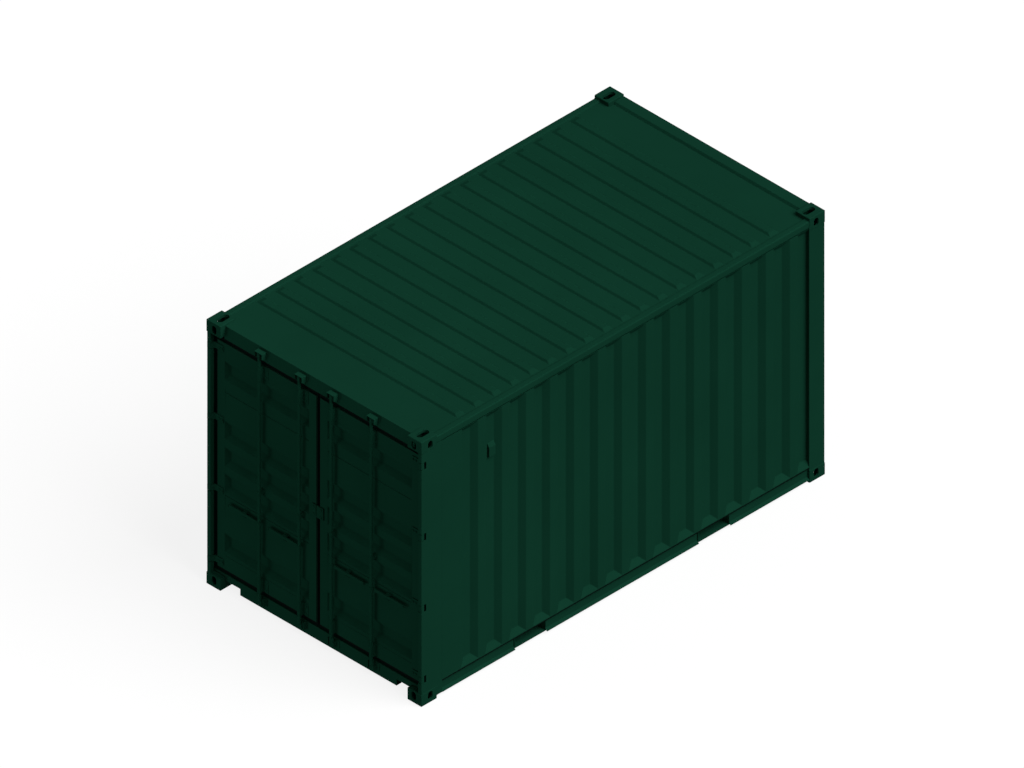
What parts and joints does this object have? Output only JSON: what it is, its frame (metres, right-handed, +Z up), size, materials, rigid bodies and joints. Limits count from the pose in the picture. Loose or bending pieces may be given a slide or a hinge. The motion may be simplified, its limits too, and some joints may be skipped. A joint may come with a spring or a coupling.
{
  "type": "shipping container",
  "caption": "Steel shipping container with corrugated walls, corner castings, fork pockets and a pair of end doors with turning locking bars.",
  "frame": {"origin": "middle of the footprint, on the ground", "axes": "+X along the length from the doors to the blind end, +Y to the left of someone who faces the doors, +Z up"},
  "size_m": [4.572, 2.438, 2.591],
  "materials": {
    "body_paint": "satin paint on steel plate",
    "wall_sheet": "satin paint on pressed sheet",
    "casting": "satin paint on cast steel",
    "fitting_paint": "satin paint on forged fittings",
    "bar_paint": "satin paint on steel tube",
    "under_paint": "dull underside coating",
    "pin_steel": "bare steel",
    "seal_rubber": "matt",
    "floor_wood": "oiled plywood"
  },
  "bodies": {
    "container": {"bottom_corner_castings": "casting", "top_corner_castings": "casting", "left_door_post": "body_paint", "right_door_post": "body_paint", "left_door_jamb": "body_paint", "right_door_jamb": "body_paint", "hinge_pins": "pin_steel", "left_front_post": "body_paint", "right_front_post": "body_paint", "door_header": "body_paint", "door_sill": "body_paint", "front_header": "body_paint", "front_sill": "body_paint", "left_top_rail": "body_paint", "right_top_rail": "body_paint", "left_bottom_rail": "body_paint", "right_bottom_rail": "body_paint", "left_side_wall": "wall_sheet", "right_side_wall": "wall_sheet", "front_wall": "wall_sheet", "roof_panel": "wall_sheet", "roof_gussets": "body_paint", "cross_members": "under_paint", "fork_pockets": "body_paint", "floor_boards": "floor_wood", "ventilators": "fitting_paint", "top_keepers": "fitting_paint", "bottom_keepers": "fitting_paint"},
    "left_door": {"left_door_frame": "body_paint", "left_door_panel": "wall_sheet", "left_door_seal": "seal_rubber", "left_door_hinges": "fitting_paint", "left_bar_brackets": "fitting_paint", "left_cover_plate": "fitting_paint"},
    "right_door": {"right_door_frame": "body_paint", "right_door_panel": "wall_sheet", "right_door_seal": "seal_rubber", "right_door_hinges": "fitting_paint", "right_bar_brackets": "fitting_paint", "right_cover_plate": "fitting_paint"},
    "left_outer_lock": {"left_outer_bar": "bar_paint", "left_outer_handle": "fitting_paint"},
    "left_inner_lock": {"left_inner_bar": "bar_paint", "left_inner_handle": "fitting_paint"},
    "right_inner_lock": {"right_inner_bar": "bar_paint", "right_inner_handle": "fitting_paint"},
    "right_outer_lock": {"right_outer_bar": "bar_paint", "right_outer_handle": "fitting_paint"}
  },
  "joints": [
    {"name": "left_door_hinge", "type": "hinge", "parent": "container", "child": "left_door", "pos_m": [-2.262, 1.195, 1.299], "axis": [0, 0, -1], "range_deg": [0, 260]},
    {"name": "right_door_hinge", "type": "hinge", "parent": "container", "child": "right_door", "pos_m": [-2.262, -1.195, 1.299], "axis": [0, 0, 1], "range_deg": [0, 260]},
    {"name": "left_outer_bar_turn", "type": "hinge", "parent": "left_door", "child": "left_outer_lock", "pos_m": [-2.269, 0.634, 1.333], "axis": [0, 0, -1], "range_deg": [-110, 0]},
    {"name": "left_inner_bar_turn", "type": "hinge", "parent": "left_door", "child": "left_inner_lock", "pos_m": [-2.269, 0.181, 1.333], "axis": [0, 0, -1], "range_deg": [-110, 0]},
    {"name": "right_inner_bar_turn", "type": "hinge", "parent": "right_door", "child": "right_inner_lock", "pos_m": [-2.269, -0.181, 1.333], "axis": [0, 0, 1], "range_deg": [-110, 0]},
    {"name": "right_outer_bar_turn", "type": "hinge", "parent": "right_door", "child": "right_outer_lock", "pos_m": [-2.269, -0.634, 1.333], "axis": [0, 0, 1], "range_deg": [-110, 0]}
  ]
}
